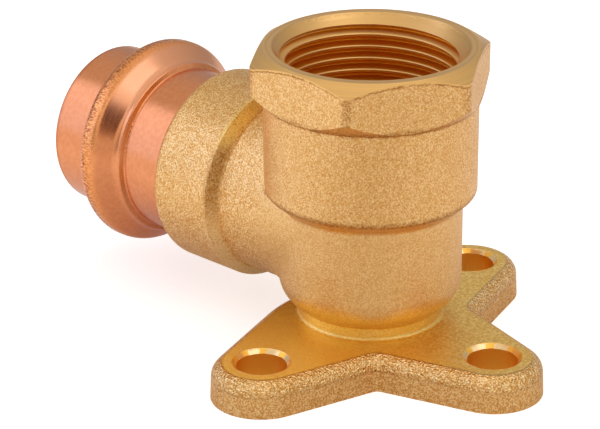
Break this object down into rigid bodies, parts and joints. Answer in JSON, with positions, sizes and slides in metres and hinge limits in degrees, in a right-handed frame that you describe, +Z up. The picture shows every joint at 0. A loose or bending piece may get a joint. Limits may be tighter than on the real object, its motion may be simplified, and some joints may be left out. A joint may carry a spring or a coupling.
{
  "type": "press-fit wall plate elbow",
  "caption": "Brass wall plate elbow that turns a copper press socket for tube into a threaded outlet, held to the wall by screws through its spread arms.",
  "frame": {"origin": "on the threaded outlet's axis, on the plate's wall face", "axes": "+Z up the threaded outlet, away from the wall; the press socket points along -X; the plate's arms point along +X, +Y and -Y"},
  "size_m": [0.0833, 0.0602, 0.046],
  "materials": {
    "cast_brass": "shot blasted, turned faces bright",
    "formed_copper": null,
    "seal_rubber": "moulded black rubber"
  },
  "bodies": {
    "root": {"elbow_body": "cast_brass", "press_socket": "formed_copper", "sealing_ring": "seal_rubber"}
  },
  "joints": []
}
